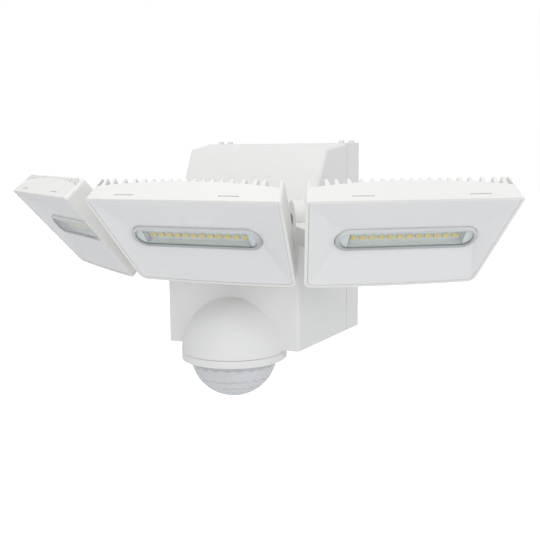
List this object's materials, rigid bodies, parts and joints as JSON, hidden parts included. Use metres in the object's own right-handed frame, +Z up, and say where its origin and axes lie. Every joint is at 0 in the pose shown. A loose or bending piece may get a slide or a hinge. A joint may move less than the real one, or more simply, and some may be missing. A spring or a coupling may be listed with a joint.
{
  "type": "motion sensor security light",
  "caption": "Wall-mounted outdoor security light with aimable LED lamp heads on swivel arms above a box housing and a motion sensor in a half-dome hood at its foot",
  "frame": {"origin": "middle of the wall plate's back face, on the wall", "axes": "+X to the right as seen from the front, +Y into the wall, +Z up"},
  "size_m": [0.4044, 0.1832, 0.1844],
  "materials": {
    "housing_shell": "satin white injection-moulded plastic with a very fine texture",
    "arm_shell": "satin white glass-filled plastic",
    "dials": "off-white plastic with a screwdriver slot",
    "head_body": "white powder coat on die-cast aluminium",
    "reflector": "glossy white moulded plastic",
    "lamp_lens": "clear moulded window, light grey in its thick rim",
    "led_chip": "yellow phosphor over a white chip package",
    "led_board": "white solder mask on an aluminium-core circuit board",
    "sensor_lens": "milky translucent plastic moulded with ring and ray facets",
    "rubber_seal": "soft dark grey rubber",
    "bolt_steel": "zinc-plated steel",
    "screw_steel": "zinc-plated steel",
    "swivel_nut": "dark moulded nylon",
    "swivel_washer": "natural acetal, slightly waxy",
    "circuit_board": "green glass-fibre circuit board",
    "transformer": "yellow-taped ferrite core",
    "capacitor": "dark sleeve over an aluminium can",
    "relay": "blue moulded case",
    "terminal": "natural nylon",
    "potentiometer": "black moulded case",
    "pyro_can": "plated steel can with a dark window",
    "photocell": "light-sensitive disc in clear resin"
  },
  "bodies": {
    "housing": {"wall_plate": "housing_shell", "plate_gasket": "rubber_seal", "cable_grommet": "rubber_seal", "front_cover": "housing_shell", "cover_seal": "rubber_seal", "cover_screws": "screw_steel", "pan_washers": "swivel_washer", "terminal_block": "terminal", "terminal_screws": "screw_steel", "driver_board": "circuit_board", "board_screws": "screw_steel", "transformer": "transformer", "capacitors": "capacitor", "relay": "relay", "control_board": "circuit_board", "potentiometers": "potentiometer", "sensor_hood": "housing_shell", "hood_screws": "screw_steel", "centre_arm": "arm_shell", "centre_pan_nut": "swivel_nut"},
    "left_arm": {"left_arm": "arm_shell", "left_pan_nut": "swivel_nut"},
    "right_arm": {"right_arm": "arm_shell", "right_pan_nut": "swivel_nut"},
    "left_head": {"left_head_housing": "head_body", "left_reflector": "reflector", "left_lens": "lamp_lens", "left_lens_seal": "rubber_seal", "left_led_board": "led_board", "left_leds": "led_chip", "left_tilt_bolt": "bolt_steel", "left_tilt_nut": "bolt_steel"},
    "centre_head": {"centre_head_housing": "head_body", "centre_reflector": "reflector", "centre_lens": "lamp_lens", "centre_lens_seal": "rubber_seal", "centre_led_board": "led_board", "centre_leds": "led_chip", "centre_tilt_bolt": "bolt_steel", "centre_tilt_nut": "bolt_steel"},
    "right_head": {"right_head_housing": "head_body", "right_reflector": "reflector", "right_lens": "lamp_lens", "right_lens_seal": "rubber_seal", "right_led_board": "led_board", "right_leds": "led_chip", "right_tilt_bolt": "bolt_steel", "right_tilt_nut": "bolt_steel"},
    "sensor": {"sensor_ring": "housing_shell", "sensor_nut": "swivel_nut", "sensor_lens": "sensor_lens", "sensor_board": "circuit_board", "pyro_sensor": "pyro_can", "photocell": "photocell"},
    "time_dial": {"time_dial": "dials"},
    "dusk_dial": {"dusk_dial": "dials"},
    "range_dial": {"range_dial": "dials"}
  },
  "joints": [
    {"name": "left_pan", "type": "hinge", "parent": "housing", "child": "left_arm", "pos_m": [-0.037, -0.096, 0.0215], "axis": [0, 0, 1], "range_deg": [-20, 0]},
    {"name": "right_pan", "type": "hinge", "parent": "housing", "child": "right_arm", "pos_m": [0.037, -0.096, 0.0215], "axis": [0, 0, 1], "range_deg": [0, 20]},
    {"name": "left_tilt", "type": "hinge", "parent": "left_arm", "child": "left_head", "pos_m": [-0.06666, -0.11423, 0.0215], "axis": [0.8039, -0.5948, 0], "range_deg": [-31, 10]},
    {"name": "centre_tilt", "type": "hinge", "parent": "housing", "child": "centre_head", "pos_m": [0, -0.1184, 0.0215], "axis": [1, 0, 0], "range_deg": [-31, 10]},
    {"name": "right_tilt", "type": "hinge", "parent": "right_arm", "child": "right_head", "pos_m": [0.06584, -0.11551, 0.0215], "axis": [0.829, 0.5592, 0], "range_deg": [-31, 10]},
    {"name": "sensor_turn", "type": "hinge", "parent": "housing", "child": "sensor", "pos_m": [0, -0.104, -0.0758], "axis": [0, 0, 1], "range_deg": [-45, 45]},
    {"name": "time_dial_turn", "type": "hinge", "parent": "housing", "child": "time_dial", "pos_m": [-0.022, -0.045, -0.0733], "axis": [0, 0, 1], "range_deg": [-135, 135]},
    {"name": "dusk_dial_turn", "type": "hinge", "parent": "housing", "child": "dusk_dial", "pos_m": [0, -0.045, -0.0733], "axis": [0, 0, 1], "range_deg": [-135, 135]},
    {"name": "range_dial_turn", "type": "hinge", "parent": "housing", "child": "range_dial", "pos_m": [0.022, -0.045, -0.0733], "axis": [0, 0, 1], "range_deg": [-135, 135]}
  ]
}
